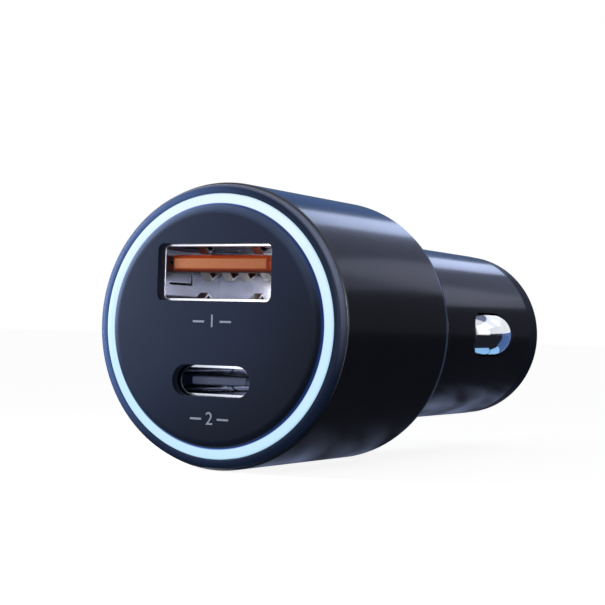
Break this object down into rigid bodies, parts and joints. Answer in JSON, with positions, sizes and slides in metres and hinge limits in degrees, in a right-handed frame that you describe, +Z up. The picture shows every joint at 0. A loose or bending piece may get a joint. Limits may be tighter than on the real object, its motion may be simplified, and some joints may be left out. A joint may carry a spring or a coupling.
{
  "type": "car usb charger plug",
  "caption": "Round plug for a car's 12 V socket, with a wider head that holds one larger and one smaller USB port inside a lit ring.",
  "frame": {"origin": "on the plug's axis, at the shoulder where the head meets the plug's barrel", "axes": "+Y along the plug towards its centre contact, +Z up with the larger port above the smaller one, -Y out of the face"},
  "size_m": [0.0284, 0.0683, 0.0284],
  "materials": {
    "anodised_body": "dark navy anodised, satin gloss",
    "bezel": "dark navy, gloss",
    "light_ring": "milky light guide, lit pale blue",
    "face": "dark blue-grey, matt",
    "circuit_board": "green solder mask",
    "lamps": "small lamps, clear",
    "bright_steel": "bright plated sheet",
    "dark_steel": "smoked plated sheet",
    "orange_tongue": "orange moulded insulator",
    "dark_tongue": "dark blue-grey moulded insulator",
    "gilt_contacts": "gold flash",
    "brass_strip": "plain strip",
    "ferrite": "moulded ferrite",
    "capacitor_can": "bright can",
    "chip_black": "moulded black",
    "ceramic": "fired ceramic",
    "black_plastic": "moulded black",
    "nose_plastic": "dark navy, satin",
    "plated_contacts": "bright nickel plate",
    "spring_steel": "drawn wire"
  },
  "bodies": {
    "charger": {"head_sleeve": "anodised_body", "bezel_ring": "bezel", "light_guide": "light_ring", "face_panel": "face", "light_board": "circuit_board", "ring_leds": "lamps", "usb_a_shell": "bright_steel", "usb_a_insulator": "orange_tongue", "usb_a_contacts": "gilt_contacts", "usb_c_shell": "dark_steel", "usb_c_insulator": "dark_tongue", "usb_c_contacts": "gilt_contacts", "port_board": "circuit_board", "light_pins": "gilt_contacts", "power_board": "circuit_board", "power_inductors": "ferrite", "input_capacitor": "capacitor_can", "output_capacitors": "capacitor_can", "controller_chips": "chip_black", "ceramic_capacitors": "ceramic", "ground_straps": "brass_strip", "plug_barrel": "anodised_body", "contact_carrier": "black_plastic", "nose_insulator": "nose_plastic", "contact_spring": "spring_steel", "spring_terminal": "brass_strip"},
    "side_contact_right": {"ground_contact_right": "plated_contacts"},
    "side_contact_left": {"ground_contact_left": "plated_contacts"},
    "tip_contact": {"centre_contact": "plated_contacts"}
  },
  "joints": [
    {"name": "side_contact_right_press", "type": "hinge", "parent": "charger", "child": "side_contact_right", "pos_m": [0.00836, 0.0024, 0], "axis": [0, 0, 1], "range_deg": [0, 2.6], "stiffness_Nm_per_rad": 1.2, "springref_deg": -1.15},
    {"name": "side_contact_left_press", "type": "hinge", "parent": "charger", "child": "side_contact_left", "pos_m": [-0.00836, 0.0024, 0], "axis": [0, 0, -1], "range_deg": [0, 2.6], "stiffness_Nm_per_rad": 1.2, "springref_deg": -1.15},
    {"name": "centre_contact_press", "type": "slide", "parent": "charger", "child": "tip_contact", "axis": [0, -1, 0], "range_m": [0, 0.0035], "stiffness_N_per_m": 1000, "springref_m": -0.002, "deforming": ["contact_spring"]}
  ]
}
